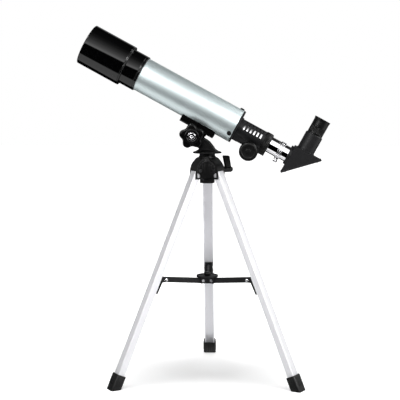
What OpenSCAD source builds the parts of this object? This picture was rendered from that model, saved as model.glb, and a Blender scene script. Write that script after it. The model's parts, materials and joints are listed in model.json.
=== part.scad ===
// Small achromatic refractor on an alt-azimuth yoke and a folding tabletop tripod.
// Origin: on the floor, below the centre of the whole object's bounding box.
// +Z is up, the tube lies in the XZ plane with its front end towards -X.

/* [Optical tube] */
// Outer diameter of the main tube
tube_d = 54; // [50:0.5:58]
// Wall of the main tube
tube_wall = 0.8; // [0.6:0.1:1.2]
// Length of the bare tube between the cell and the rear flange
tube_len = 168.5; // [160:0.5:175]
// Outer diameter of the dew shield
hood_d = 65.3; // [63:0.1:67]
// Length of the dew shield
hood_len = 72; // [60:0.5:80]
// Outer diameter of the objective cell
cell_d = 57.6; // [57:0.1:59]
// Length of the objective cell that shows behind the dew shield
cell_show = 25.8; // [20:0.1:30]
// Diameter of the objective lens
lens_d = 50.4; // [50:0.1:50.8]
// Elevation of the tube above the horizon
tilt = 28.6; // [10:0.1:38]

/* [Focuser] */
// Outer diameter of the drawtube
draw_d = 25.6; // [25.4:0.1:26]
// Outer diameter of the slotted focuser barrel
barrel_d = 30.5; // [30:0.1:32]
// Length of the focuser behind the rear flange
focuser_len = 56; // [54:0.5:58]
// Distance of the focus shaft behind the rear flange
shaft_u = 32.5; // [31:0.1:34]
// Diameter of each focus knob
knob_d = 29.4; // [26:0.1:30]
// Teeth on the focus pinion, with a module of 1 mm
pinion_teeth = 12; // [12:1:12]

/* [Diagonal and eyepiece] */
// Length of each short side of the diagonal's triangular housing
diagonal_leg = 44.6; // [44:0.1:46]
// Width of the diagonal's housing
diagonal_w = 30; // [29:0.5:32]
// Height of the eyepiece socket above the housing
socket_h = 29.6; // [28:0.1:31]
// Height of the eyepiece above the socket
eyepiece_h = 26.5; // [24:0.1:30]

/* [Head] */
// Height of the tilt axis above the floor
pivot_z = 385; // [384:0.5:388]
// Distance of the tilt axis in front of the azimuth axis
pivot_x = -22.5; // [-24:0.1:-21]
// Radius of the saucer-shaped flange under the yoke
flange_r = 22.6; // [21:0.1:23]

/* [Tripod] */
// Height of the leg pivots above the floor
hip_z = 331; // [330:0.5:332]
// Distance of the leg pivots from the azimuth axis
hip_r = 18.5; // [18.5:0.1:19]
// Radius of the circle on which the feet stand
foot_r = 163; // [155:0.1:166]
// Width of a leg channel
leg_w = 16; // [16:0.1:16.2]
// Depth of a leg channel
leg_t = 11; // [10.5:0.1:11]
// Wall of a leg channel
leg_wall = 1.2; // [1:0.1:1.5]
// Direction of the back leg, counter-clockwise from +X
back_leg = 92.4; // [85:0.1:95]

/* [Hidden] */
$fn = 64;
BLACK = [0.07, 0.07, 0.08];
SILVER = [0.8, 0.86, 0.87];
CHROME = [0.85, 0.85, 0.87];
STEEL = [0.7, 0.7, 0.72];
BRASS = [0.78, 0.62, 0.3];
GLASS = [0.6, 0.8, 0.85, 0.5];
eps = 0.01;
fit = 0.05;           // radial clearance of every running fit
play = 0.3;           // axial gap between faces that move past each other

// Tube frame: u runs back along the tube from its rear flange, v is up from its axis
tube_r = tube_d / 2;
tube_in = tube_r - tube_wall;
rim_t = 3;            // thickness of the rear flange
spigot_l = 10;        // how far the cell and the focuser reach into the tube
tube_u0 = -rim_t - tube_len;
cell_u0 = tube_u0 - cell_show;
hood_u0 = cell_u0 - hood_len;
hood_r = hood_d / 2;
hood_lap = 10;        // length of the hood's collar around the cell
hood_wall = 2;
hood_chamfer = 0.6;
cell_r = cell_d / 2;
lens_r = lens_d / 2;
lens_curve = 150;     // radius of the crown lens's two faces
lens_bulge = lens_curve - sqrt(pow(lens_curve, 2) - pow(lens_r, 2));
lens_steps = 8;       // rings of each lens face
lens_seat = cell_u0 + 5.3;
flint_t = 4;
spacer_t = 0.47;
crown_edge = 2.4;
crown_u = lens_seat - flint_t - 0.6;
baffle_u = -112;
screw_u = -7;         // station of the three rear screws
saddle_u0 = -84.6;
saddle_u1 = -26.7;
saddle_half = 14.7;
saddle_v = -34;
saddle_screw_u = [-78, -33];

// The tilt axis in the tube frame
pivot_u = -55.4;
pivot_v = -45.7;
boss_half = 8;        // half width of the saddle's boss between the cheeks
ear_r = 11.2;
cheek_y0 = boss_half + 0.4;
cheek_y1 = cheek_y0 + 5;
bolt_r = 3;
knob_y0 = 15.4;
knob_y1 = 27;
washer_t = knob_y0 - play / 2 - cheek_y1;
lobe_count = 5;
lobe_r = 7.2;
lobe_at = 12.8;
lobe_phase = 21;

// Focuser
draw_r = draw_d / 2;
draw_in = 12.3;
draw_u0 = -60;
ring_u0 = 71.7;       // clamp ring at the drawtube's rear end
ring_u1 = 79.3;
barrel_r = barrel_d / 2;
collar_u = 44;        // start of the focuser's end collar
slot_count = 6;
slot_pitch = 5.8;
slot_w = 2.4;
slot_u = 8.4;         // start of the first slot
shaft_v = -23.9;
shaft_r = 2;
channel_v = -20.5;    // bottom of the rack's channel
gear_house_half = 9.5;
gear_house_v = -29;   // parting plane of the pinion cover
cover_v = -33.2;
gear_half = 3;
cover_screws = [[shaft_u - 6.9, -6.9], [shaft_u + 6.9, 6.9]];
knob_in = 17;
knob_t = 12;

// Rack and pinion
pitch_r = pinion_teeth / 2;
rack_pitch = PI;
backlash = 0.12;
pressure = 20;
pitch_v = shaft_v + pitch_r;
rack_add = 0.65;
rack_ded = 1.2;
rack_u0 = -22;
rack_u1 = 54;
rack_teeth = [-17 : 6];
base_r = pitch_r * cos(pressure);
tip_r = pitch_r + 0.95;
root_r = pitch_r - 1;
flank_steps = 6;

// Diagonal
diag_u = 91.8;        // entrance face
diag_v = 17.9;        // top face
diag_end = diag_u + diagonal_leg;
diag_wall = 2.2;
view_u = 110;         // axis of the eyepiece
nose_r = 12.25;       // standard 24.5 mm push-fit barrel
nose_wall = 0.8;
socket_r = 14;
socket_top = diag_v + socket_h;
eye_top = socket_top + eyepiece_h;
eye_r = 12.5;
plate_t = 2.6;
plate_pad = 3;        // pad that carries the mirror, above the plate
mirror_t = 3;

// Tripod
lean = atan((foot_r - hip_r) / hip_z);
leg_l = hip_z / cos(lean);
cheek_leg_y0 = leg_w / 2 + 0.4;
cheek_leg_y1 = cheek_leg_y0 + 2.4;
pin_r = 2;
pin_head_r = 3;
hub_top = 354;
hub_floor = 320.4;
hub_base = 313;
cap_base = 311;
boss_r = 11.6;
spindle_r = 8;
lobe_face = 19;
lobe_arch_r = 13.5;
lobe_arch_z = 333;
lock_dir = back_leg - 60;
lock_z = 331;
foot_cap_h = 24;
foot_cap_w = 21;
foot_cap_t = 15.6;

// Spreader
mid_z = 156.2;
mid_r = 9.5;
out_z = 163.5;
out_r = 75.4;
arm_l = norm([out_r - mid_r, out_z - mid_z]);
arm_rise = atan((out_z - mid_z) / (out_r - mid_r));
arm_h = 8.6;
arm_t = 3;
rivet_r = 1.6;
plate_z = mid_z + arm_h / 2 + 1.1;
bracket_l = 26;
bracket_y0 = 4.9;
bracket_y1 = leg_w / 2 - leg_wall - 0.1;

function leg_dir(i) = back_leg + 120 * i;

// A point of the tube frame in the XZ plane of the azimuth axis
function in_room(u, v) = [
    pivot_x + (u - pivot_u) * cos(tilt) + (v - pivot_v) * sin(tilt),
    pivot_z - (u - pivot_u) * sin(tilt) + (v - pivot_v) * cos(tilt)
];
// A point of the XZ plane of a leg in that leg's own frame
function in_leg(r, z) = [
    (r - hip_r) * cos(lean) + (z - hip_z) * sin(lean),
    -(r - hip_r) * sin(lean) + (z - hip_z) * cos(lean)
];

// Centre of the bounding box, seen from the azimuth axis
rim_x = eye_r + 0.7;
front_x = in_room(hood_u0, 0)[0] - (hood_r - hood_chamfer) * sin(tilt);
rear_x = in_room(view_u, eye_top)[0] + rim_x * cos(tilt);
toe_r = foot_r + foot_cap_t / 2 / cos(lean);
back_y = toe_r * sin(back_leg) + foot_cap_w / 2 * abs(cos(back_leg));
front_y = toe_r * sin(leg_dir(1)) - foot_cap_w / 2 * abs(cos(leg_dir(1)));
centre = [(front_x + rear_x) / 2, (back_y + front_y) / 2, 0];

// ---- frames ----
module room() translate(-centre) children();
module tube_frame()
    room() translate([pivot_x, 0, pivot_z]) rotate([0, tilt, 0]) translate([-pivot_u, 0, -pivot_v])
        children();
module leg_frame(i)
    room() rotate([0, 0, leg_dir(i)]) translate([hip_r, 0, hip_z]) rotate([0, -lean, 0]) children();
module spreader_frame(i) room() rotate([0, 0, leg_dir(i)]) translate([0, 0, mid_z]) children();
module lock_frame() room() translate([0, 0, lock_z]) rotate([0, 0, lock_dir]) children();
module each_leg() for (i = [0 : 2]) rotate([0, 0, leg_dir(i)]) children();

// ---- shared shapes ----
// A profile of [radius, u] pairs turned about the tube's axis
module turned_u(profile) rotate([0, 90, 0]) rotate_extrude() polygon(profile);
module ring_u(r_out, r_in, u0, u1) turned_u([[r_in, u0], [r_out, u0], [r_out, u1], [r_in, u1]]);
module rod_u(r, u0, u1) translate([u0, 0, 0]) rotate([0, 90, 0]) cylinder(r = r, h = u1 - u0);
module rod_y(r, y0, y1) translate([0, y0, 0]) rotate([-90, 0, 0]) cylinder(r = r, h = y1 - y0);
module ring_z(r_out, r_in, z0, z1)
    rotate_extrude() polygon([[r_in, z0], [r_out, z0], [r_out, z1], [r_in, z1]]);
// A block given by its lowest and its highest corner
module block(low, high) translate(low) cube(high - low);
// A shape and its mirror image on the other side of the XZ plane
module both_sides() {
    children();
    mirror([0, 1, 0]) children();
}
// A polygon of [x, z] pairs that is y0 to y1 thick
module slab_y(points, y0, y1)
    translate([0, y1, 0]) rotate([90, 0, 0]) linear_extrude(y1 - y0) polygon(points);
// A round-headed screw with a cross recess: its head is above z = 0, its shank below
module screw(head_r, head_h, shank_r, shank_l) {
    difference() {
        union() {
            cylinder(r = head_r, h = head_h * 0.6);
            cylinder(r = head_r * 0.8, h = head_h);
        }
        for (turn = [0, 90]) rotate([0, 0, turn])
            block([-head_r * 0.55, -0.3, head_h * 0.45], [head_r * 0.55, 0.3, head_h + eps]);
    }
    translate([0, 0, -shank_l]) cylinder(r = shank_r, h = shank_l);
}

// ---- optical tube ----
module dew_shield() color(BLACK) tube_frame() turned_u([
    [hood_r - hood_wall - 0.8, hood_u0], [hood_r - hood_chamfer, hood_u0], [hood_r, hood_u0 + hood_chamfer],
    [hood_r, cell_u0 - 0.8], [hood_r - 0.8, cell_u0], [cell_r, cell_u0], [cell_r, cell_u0 - hood_lap],
    [hood_r - hood_wall, cell_u0 - hood_lap - 2], [hood_r - hood_wall, hood_u0 + 4]
]);

module objective_cell() color(BLACK) tube_frame() turned_u([
    [lens_r, cell_u0 - hood_lap], [cell_r, cell_u0 - hood_lap], [cell_r, tube_u0 - 0.8],
    [cell_r - 0.8, tube_u0], [tube_in, tube_u0], [tube_in, tube_u0 + spigot_l],
    [tube_in - 1.8, tube_u0 + spigot_l], [lens_r - 1.4, lens_seat], [lens_r, lens_seat]
]);

// A lens face from its middle to its edge: it lies at u there, and out = -1 or 1 is the way it bulges
function lens_face(u, out) = [
    for (k = [0 : lens_steps]) let (r = lens_r * k / lens_steps)
        [r, u + out * (lens_bulge - sag(r))]
];
function sag(r) = lens_curve - sqrt(pow(lens_curve, 2) - pow(r, 2));
function reversed(list) = [for (k = [len(list) - 1 : -1 : 0]) list[k]];

module crown_lens() color(GLASS) tube_frame()
    turned_u(concat(lens_face(crown_u - crown_edge, -1), reversed(lens_face(crown_u, 1))));

module flint_lens() color(GLASS) tube_frame()
    turned_u(concat(lens_face(lens_seat - flint_t, 1), [[lens_r, lens_seat], [0, lens_seat]]));

module lens_spacer() color(STEEL) tube_frame()
    ring_u(lens_r, lens_r - 0.6, lens_seat - flint_t - spacer_t, lens_seat - flint_t);

module lens_retaining_ring() color(BLACK) tube_frame()
    ring_u(lens_r, lens_r - 1, crown_u - crown_edge - 2.8, crown_u - crown_edge - 0.3);

// The radial holes of the three rear screws, for every wall that they pass
module rear_screw_places()
    for (turn = [0, 120, 240]) rotate([turn, 0, 0]) translate([screw_u, 0, tube_r]) children();

module main_tube() color(SILVER) tube_frame() difference() {
    ring_u(tube_r, tube_in, tube_u0, -rim_t);
    rear_screw_places() translate([0, 0, -4]) cylinder(r = 1.5, h = 8);
    for (u = saddle_screw_u) translate([u, 0, -tube_r - 2]) cylinder(r = 1.5, h = 4);
}

module light_baffle() color(BLACK) tube_frame() turned_u([
    [19, baffle_u], [tube_in, baffle_u], [tube_in, baffle_u - 6], [tube_in - 1, baffle_u - 6],
    [tube_in - 1, baffle_u - 1.5], [19, baffle_u - 1.5]
]);

module rear_screws() color(BLACK) tube_frame() rear_screw_places() screw(3.6, 2, 1.5, 2.6);

module tube_saddle() color(BLACK) tube_frame() difference() {
    union() {
        difference() {
            block([saddle_u0, -saddle_half, saddle_v], [saddle_u1, saddle_half, -20]);
            rod_u(tube_r, saddle_u0 - 1, saddle_u1 + 1);
        }
        translate([pivot_u, 0, pivot_v]) {
            slab_y([[-11, 0], [11, 0], [17.5, 8], [17.5, 12], [-11.6, 12]], -boss_half, boss_half);
            rod_y(11, -boss_half, boss_half);
        }
    }
    translate([pivot_u, 0, pivot_v]) rod_y(bolt_r + fit, -boss_half - 1, boss_half + 1);
    for (u = saddle_screw_u) translate([u, 0, -tube_r - 5]) cylinder(r = 1.5, h = 8);
    for (side = [-1, 1]) translate([0, side * (saddle_half + 0.2), saddle_v - 0.2]) rotate([45, 0, 0])
        block([saddle_u0 - 1, -1.6, -1.6], [saddle_u1 + 1, 1.6, 1.6]);
}

module saddle_screws() color(STEEL) tube_frame()
    for (u = saddle_screw_u) translate([u, 0, -tube_in + 0.35]) screw(3, 1.4, 1.5, 5.5);

// ---- focuser ----
module rib_slots()
    for (i = [0 : slot_count - 1], side = [-1, 1])
        translate([slot_u + i * slot_pitch, 0, 0])
            block([0, side > 0 ? 4.5 : -17, 0.6], [slot_w, side > 0 ? 17 : -4.5, 17]);

module focuser_body() color(BLACK) tube_frame() difference() {
    union() {
        turned_u([
            [draw_r + fit, -rim_t], [tube_r, -rim_t], [tube_r, -0.6], [tube_r - 0.6, 0],
            [barrel_r + 1.4, 0], [barrel_r + 1.4, 2.4], [barrel_r, 2.4], [barrel_r, collar_u],
            [barrel_r + 0.5, collar_u], [barrel_r + 0.5, focuser_len - 0.8],
            [barrel_r - 0.4, focuser_len], [draw_r + fit, focuser_len]
        ]);
        ring_u(tube_in, tube_in - 2, -rim_t - spigot_l, -rim_t);
        block([0, -gear_house_half, -18], [46, gear_house_half, -6]);
        block([0, -11, channel_v], [9, 11, -6]);
        block([0, -5.6, channel_v], [focuser_len, 5.6, -6]);
        block([shaft_u - 9.5, -gear_house_half, gear_house_v], [shaft_u + 9.5, gear_house_half, -10]);
    }
    rod_u(draw_r + fit, -rim_t - 1, focuser_len + 1);
    block([-rim_t - 1, -gear_half - 0.3, pitch_v - rack_add - 0.5], [focuser_len + 1, gear_half + 0.3, -11]);
    translate([shaft_u, 0, shaft_v]) {
        rod_y(tip_r + 0.6, -gear_half - 1.2, gear_half + 1.2);
        rod_y(shaft_r + fit, -gear_house_half - 1, gear_house_half + 1);
    }
    rib_slots();
    rear_screw_places() translate([0, 0, -4]) cylinder(r = 1.5, h = 8);
    for (p = cover_screws) translate([p[0], p[1], gear_house_v - 1]) cylinder(r = 1.2, h = 6);
}

module pinion_cover() color(BLACK) tube_frame() difference() {
    block([shaft_u - 9.5, -gear_house_half, cover_v], [shaft_u + 9.5, gear_house_half, gear_house_v]);
    translate([shaft_u, 0, shaft_v]) rod_y(tip_r + 0.6, -gear_half - 1.2, gear_half + 1.2);
    for (p = cover_screws) translate([p[0], p[1], cover_v - 1]) cylinder(r = 1.2, h = 6);
}

module pinion_cover_screws() color(STEEL) tube_frame()
    for (p = cover_screws) translate([p[0], p[1], cover_v]) mirror([0, 0, 1]) screw(2.2, 1.3, 1.2, 8.5);

module drawtube() color(CHROME) tube_frame() difference() {
    ring_u(draw_r, draw_in, draw_u0, ring_u1);
    translate([(ring_u0 + ring_u1) / 2, 0, -draw_r - 2]) cylinder(r = 1.56, h = 4);
}

module focus_rack() color(BLACK) tube_frame() difference() {
    union() {
        block([rack_u0, -gear_half, pitch_v + rack_ded], [rack_u1, gear_half, -11.8]);
        for (k = rack_teeth) translate([shaft_u + k * rack_pitch, 0, pitch_v]) slab_y([
            [-rack_half(rack_add), -rack_add], [rack_half(rack_add), -rack_add],
            [rack_half(-rack_ded), rack_ded + eps], [-rack_half(-rack_ded), rack_ded + eps]
        ], -gear_half, gear_half);
    }
    rod_u(draw_r, rack_u0 - 1, rack_u1 + 1);
}
// Half the thickness of a rack tooth, out beyond its pitch line
function rack_half(out) = (rack_pitch / 2 - backlash) / 2 - out * tan(pressure);

module drawtube_clamp_ring() color(CHROME) tube_frame() difference() {
    union() {
        ring_u(draw_r + 1.3, draw_r, ring_u0, ring_u1);
        translate([(ring_u0 + ring_u1) / 2, 0, -draw_r - 2.2]) cylinder(r = 3, h = 2);
    }
    translate([(ring_u0 + ring_u1) / 2, 0, -draw_r - 3]) cylinder(r = 1.56, h = 4);
}

module diagonal_thumbscrew() color(CHROME) tube_frame() translate([(ring_u0 + ring_u1) / 2, 0, 0]) {
    translate([0, 0, -draw_r - 3.4]) cylinder(r = 1.5, h = 3.8);
    translate([0, 0, -draw_r - 7.2]) cylinder(r = 3.4, h = 4);
    translate([0, 0, -draw_r - 7.8]) cylinder(r = 2.6, h = 1);
}

module pinion_shaft() color(STEEL) tube_frame() translate([shaft_u, 0, shaft_v])
    rod_y(shaft_r, -knob_in - knob_t + 2, knob_in + knob_t - 2);

// Angle, in degrees, of a tooth flank from the tooth's middle at radius r
function flank(r) =
    let (spread = (rack_pitch / 2 - backlash) / (2 * pitch_r) * 180 / PI)
    spread + involute(pressure) - (r <= base_r ? 0 : involute(acos(base_r / r)));
function involute(a) = tan(a) * 180 / PI - a;
function ray(r, a) = [r * cos(a), r * sin(a)];

module pinion_gear() color(BRASS) tube_frame() translate([shaft_u, 0, shaft_v])
    rotate([90, 0, 0]) translate([0, 0, -gear_half]) difference() {
        linear_extrude(2 * gear_half) polygon([
            for (k = [0 : pinion_teeth - 1], s = [-1, 1], j = [0 : flank_steps])
                let (
                    step = s < 0 ? j : flank_steps - j,
                    r = step == 0 ? root_r : base_r + (tip_r - base_r) * (step - 1) / (flank_steps - 1)
                )
                ray(r, 90 + (k + 0.5) * 360 / pinion_teeth + s * flank(r))
        ]);
        translate([0, 0, -1]) cylinder(r = shaft_r, h = 2 * gear_half + 2);
    }

module focus_knob(side) color(BLACK) tube_frame() translate([shaft_u, 0, shaft_v])
    rotate([-90 * side, 0, 0]) rotate_extrude() polygon([
        [shaft_r, gear_house_half + 0.4], [5, gear_house_half + 0.4], [5, knob_in],
        [knob_d / 2 - 1.2, knob_in], [knob_d / 2, knob_in + 1.2], [knob_d / 2, knob_in + knob_t - 2],
        [knob_d / 2 - 2, knob_in + knob_t], [9.5, knob_in + knob_t], [9, knob_in + knob_t - 1],
        [0, knob_in + knob_t - 1], [0, knob_in + knob_t - 2], [shaft_r, knob_in + knob_t - 2]
    ]);

// ---- diagonal ----
module diagonal_barrel() color(CHROME) tube_frame() difference() {
    ring_u(nose_r, nose_r - nose_wall, 58, diag_u - 3.6);
    rod_u(nose_r - nose_wall, 57, diag_u);
}

// The right-angled triangle of the housing, grown or shrunk by an offset of its sides
function triangle(grow) = [
    [diag_u - grow, diag_v + grow],
    [diag_u - grow, diag_v - diagonal_leg - grow * (1 + sqrt(2))],
    [diag_end + grow * (1 + sqrt(2)), diag_v + grow]
];

module diagonal_housing() color(BLACK) tube_frame() difference() {
    union() {
        slab_y(triangle(0), -diagonal_w / 2, diagonal_w / 2);
        rod_u(nose_r + 3.6, diag_u - 3.6, diag_u + 1);
        translate([view_u, 0, 0]) rotate_extrude() polygon([
            [0, diag_v - 1], [socket_r + 1.2, diag_v - 1], [socket_r + 1.2, diag_v + 1.2],
            [socket_r, diag_v + 1.8], [socket_r, socket_top - 1.4], [eye_r, socket_top], [0, socket_top]
        ]);
    }
    slab_y(concat(
        [triangle(-diag_wall)[0]],
        [[diag_u + diag_wall, diag_v - diagonal_leg - 1], [diag_end + 1, diag_v - diag_wall]]
    ), diag_wall - diagonal_w / 2, diagonal_w / 2 - diag_wall);
    rod_u(nose_r - nose_wall, diag_u - 5, diag_u + 3);
    translate([view_u, 0, diag_v - 4]) cylinder(r = nose_r - 1, h = 12);
    translate([view_u, 0, diag_v + 6]) cylinder(r = nose_r + fit, h = socket_h);
}

// Frame of the cover: its x runs along the slope, its z points into the housing
module slope_frame() tube_frame()
    translate([diag_u + diagonal_leg / 2, 0, diag_v - diagonal_leg / 2]) rotate([0, -45, 0]) children();

module diagonal_cover() color(BLACK) slope_frame() {
    half = diagonal_leg / sqrt(2) + 1.5;
    block([-half, -diagonal_w / 2 - 0.4, -plate_t], [half, diagonal_w / 2 + 0.4, 0]);
    translate([-6, 0, 0]) block([-14, -11.5, -eps], [14, 11.5, plate_pad]);
}

module diagonal_mirror() color(CHROME) slope_frame()
    translate([-6, 0, plate_pad]) intersection() {
        block([-13, -10.5, 0], [13, 10.5, mirror_t]);
        cylinder(r = 14.5, h = mirror_t);
    }

// ---- eyepiece ----
module turned_view(profile) tube_frame() translate([view_u, 0, 0]) rotate_extrude() polygon(profile);

module eyepiece_body() color(BLACK) turned_view([
    [10.6, socket_top + 0.3], [eye_r, socket_top + 0.3], [eye_r, eye_top - 2.4],
    [rim_x, eye_top - 1.4], [rim_x, eye_top], [rim_x - 1.4, eye_top], [8, eye_top - 5],
    [6.1, eye_top - 5], [6.1, eye_top - 8], [5, eye_top - 8.6], [10.6, eye_top - 14]
]);

module eyepiece_barrel() color(CHROME) turned_view([
    [nose_r - 0.9, diag_v + 8], [nose_r, diag_v + 8], [nose_r, socket_top], [nose_r, socket_top + 0.3],
    [10.6, socket_top + 0.3], [10.6, socket_top + 4], [9.7, socket_top + 4], [9.7, socket_top],
    [nose_r - 0.9, socket_top - 3]
]);

module field_lens() color(GLASS) tube_frame() translate([view_u, 0, diag_v + 12]) intersection() {
    cylinder(r = nose_r - 0.9, h = 8);
    translate([0, 0, 4.5 - 40]) sphere(r = 40);
}

module eye_lens() color(GLASS) tube_frame() translate([view_u, 0, eye_top - 8]) intersection() {
    cylinder(r = 6.1, h = 6);
    translate([0, 0, 2.8 - 14]) sphere(r = 14);
}

// ---- yoke ----
module yoke() color(BLACK) room() {
    difference() {
        intersection() {
            union() {
                slab_y([
                    [-11, 358], [15.2, 358], [15.2, 360.5], [12, 364.6], [9, 368.5], [6.4, 372],
                    [3.6, 375.4], [0, 378.2], [-4, 380.4], [-13.5, 390], [-30.5, 377.2], [-20, 371.2],
                    [-13.2, 366.4], [-11, 363.4]
                ], -cheek_y1, cheek_y1);
                translate([pivot_x, 0, pivot_z]) rod_y(ear_r, -cheek_y1, cheek_y1);
            }
            translate([0, 0, 340]) cylinder(r = 60, h = 80);
        }
        block([-60, -cheek_y0, 367], [30, cheek_y0, 420]);
        translate([pivot_x, 0, pivot_z]) {
            rod_y(19.6, -cheek_y0, cheek_y0);
            rod_y(bolt_r + fit, -cheek_y1 - 1, cheek_y1 + 1);
        }
    }
    rotate_extrude() polygon([
        [0, hub_top + play], [12.3, hub_top + play], [12.3, 357.2], [flange_r - 0.6, 357.8],
        [flange_r, 358.2], [flange_r, 359.6], [flange_r - 1, 360.2], [flange_r - 5, 361.6],
        [13.4, 364.2], [0, 364.2]
    ]);
}

module tilt_nut() color(STEEL) room() translate([pivot_x, cheek_y1, pivot_z]) rotate([-90, 0, 0])
    difference() {
        cylinder(r = 5.6, h = 4.6, $fn = 6);
        translate([0, 0, -1]) cylinder(r = bolt_r + fit, h = 7);
    }

module tilt_washer() color(STEEL) room() translate([pivot_x, -cheek_y1, pivot_z]) rotate([90, 0, 0])
    difference() {
        cylinder(r = 8, h = washer_t);
        translate([0, 0, -1]) cylinder(r = bolt_r + fit, h = washer_t + 2);
    }

module tilt_bolt() color(CHROME) room() translate([pivot_x, 0, pivot_z]) {
    rod_y(bolt_r, -knob_y1 + 2, cheek_y1 + 6);
    translate([0, -knob_y1 + 2, 0]) rotate([90, 0, 0]) difference() {
        union() {
            cylinder(r = 6.4, h = 1.6);
            cylinder(r = 5.2, h = 2.6);
        }
        translate([0, 0, 1]) cylinder(r = 2.6, h = 3, $fn = 6);
    }
}

module tilt_knob() color(BLACK) room() translate([pivot_x, -knob_y0, pivot_z]) rotate([90, 0, 0])
    difference() {
        union() {
            linear_extrude(knob_y1 - knob_y0 - 1.5) {
                circle(r = 15.6);
                for (i = [0 : lobe_count - 1]) rotate([0, 0, lobe_phase + i * 360 / lobe_count])
                    translate([lobe_at, 0]) circle(r = lobe_r);
            }
            cylinder(r = 11, h = knob_y1 - knob_y0);
        }
        translate([0, 0, -1]) cylinder(r = bolt_r, h = 20);
        translate([0, 0, knob_y1 - knob_y0 - 2]) cylinder(r = 6.4, h = 3);
    }

module pan_spindle() color(BLACK) room() difference() {
    translate([0, 0, hub_floor - 0.3]) cylinder(r = spindle_r, h = hub_top + play - hub_floor + 0.3);
    translate([0, 0, hub_floor - 1]) cylinder(r = 2, h = 14);
}

module spindle_washer() color(STEEL) room() ring_z(9.2, 2, hub_floor - 2, hub_floor - 0.3);

module spindle_screw() color(STEEL) room() translate([0, 0, hub_floor - 2]) mirror([0, 0, 1])
    screw(4, 2, 2, 14);

// ---- hub ----
module leg_shroud() difference() {
    slab_y([
        [6, hub_top - 1], [9.5, hub_top - 2], [14, 350], [17.7, 346.5], [21, 342.6], [23.2, 339],
        [24.8, 333], [25.4, 327], [25.4, 318], [8, 318]
    ], -cheek_leg_y1, cheek_leg_y1);
    // window in both cheeks
    block([17, -20, 320.5], [23, 20, 327.4]);
}

// Room for a leg, from its spread stop to fully folded, and for its pin
module leg_pocket() {
    translate([hip_r, 0, hip_z]) {
        rod_y(leg_t / 2 + 0.7, -cheek_leg_y0, cheek_leg_y0);
        rotate([0, -lean, 0])
            block([-leg_t / 2 - 0.4, -cheek_leg_y0, -40], [leg_t / 2 + 0.35, cheek_leg_y0, 0]);
        rod_y(pin_r, -cheek_leg_y1, cheek_leg_y1);
        both_sides() rod_y(pin_head_r + 0.2, cheek_leg_y1, cheek_leg_y1 + 9);
    }
    block([12.7, -cheek_leg_y0, 300], [hip_r + 5.9, cheek_leg_y0, hip_z]);
}

module hub_lobe() {
    intersection() {
        translate([5, 0, lobe_arch_z]) rotate([0, 90, 0]) cylinder(r = lobe_arch_r, h = lobe_face - 5);
        block([0, -20, 320], [30, 20, 360]);
    }
    block([8, -9.6, 319.5], [lobe_face - 1.6, 9.6, lobe_arch_z]);
    translate([lobe_face - 1.6, 0, 0]) block([0, -1, 322], [2.4, 1, 345]);
}

module hub_body() color(BLACK) room() difference() {
    union() {
        rotate_extrude() polygon([
            [0, hub_base], [boss_r, hub_base], [boss_r, 319], [12.2, 320], [12.2, 338], [16, 341],
            [15.6, 345], [14, 350], [13, hub_top - 0.6], [12.4, hub_top], [0, hub_top]
        ]);
        each_leg() leg_shroud();
        each_leg() rotate([0, 0, -60]) hub_lobe();
        rotate([0, 0, lock_dir]) {
            translate([12, 0, lock_z]) rotate([0, 90, 0]) cylinder(r = 5.2, h = 18);
            slab_y([[8, 350], [14.5, 348], [22, 342.5], [30, 333], [30, lock_z], [8, lock_z]], -3.4, 3.4);
        }
    }
    each_leg() leg_pocket();
    translate([0, 0, hub_floor - 1]) cylinder(r = spindle_r + fit, h = 60);
    translate([0, 0, hub_base - 1]) cylinder(r = 9.6, h = hub_floor - hub_base + 1);
    rotate([0, 0, lock_dir]) translate([4, 0, lock_z]) rotate([0, 90, 0])
        cylinder(r = 2.5 + fit, h = 40);
}

module hub_cap() color(BLACK) room() {
    translate([0, 0, cap_base]) cylinder(r = boss_r, h = hub_base - cap_base);
    translate([0, 0, hub_base]) cylinder(r = 9.6, h = 2);
}

module leg_pins() color(STEEL) room() each_leg() translate([hip_r, 0, hip_z]) {
    rod_y(pin_r, -cheek_leg_y1, cheek_leg_y1);
    both_sides() rod_y(pin_head_r, cheek_leg_y1, cheek_leg_y1 + 1.2);
}

module pan_lock_screw() color(STEEL) lock_frame() rod_u(2.5, spindle_r + 0.1, 36);

module pan_lock_lever() color(BLACK) lock_frame() difference() {
    union() {
        rod_u(4.6, 30.4, 42.4);
        rod_u(3.4, 42.4, 44.6);
        slab_y([[33.4, 0], [42.4, 0], [38.8, 20.4], [37.4, 21.8], [29.6, 22.2], [28.6, 21.2]], -2.9, 2.9);
    }
    rod_u(2.5, 20, 36);
}

// ---- legs ----
module leg_channel(i) color(STEEL) leg_frame(i) difference() {
    union() {
        block([-leg_t / 2, -leg_w / 2, -leg_l + 5], [leg_t / 2, leg_w / 2, 0]);
        rod_y(leg_t / 2, -leg_w / 2, leg_w / 2);
    }
    block(
        [-leg_t, leg_wall - leg_w / 2, -leg_l],
        [leg_t / 2 - leg_wall, leg_w / 2 - leg_wall, leg_t]
    );
    rod_y(pin_r + fit, -leg_w, leg_w);
}

module foot_cap(i) color(BLACK) intersection() {
    leg_frame(i) difference() {
        block(
            [-foot_cap_t / 2, -foot_cap_w / 2, -leg_l - 8],
            [foot_cap_t / 2, foot_cap_w / 2, -leg_l + foot_cap_h]
        );
        block([-leg_t / 2, -leg_w / 2, -leg_l + 5], [leg_t / 2, leg_w / 2, -leg_l + foot_cap_h + 1]);
    }
    room() translate([-300, -300, 0]) cube(600);
}

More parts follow.
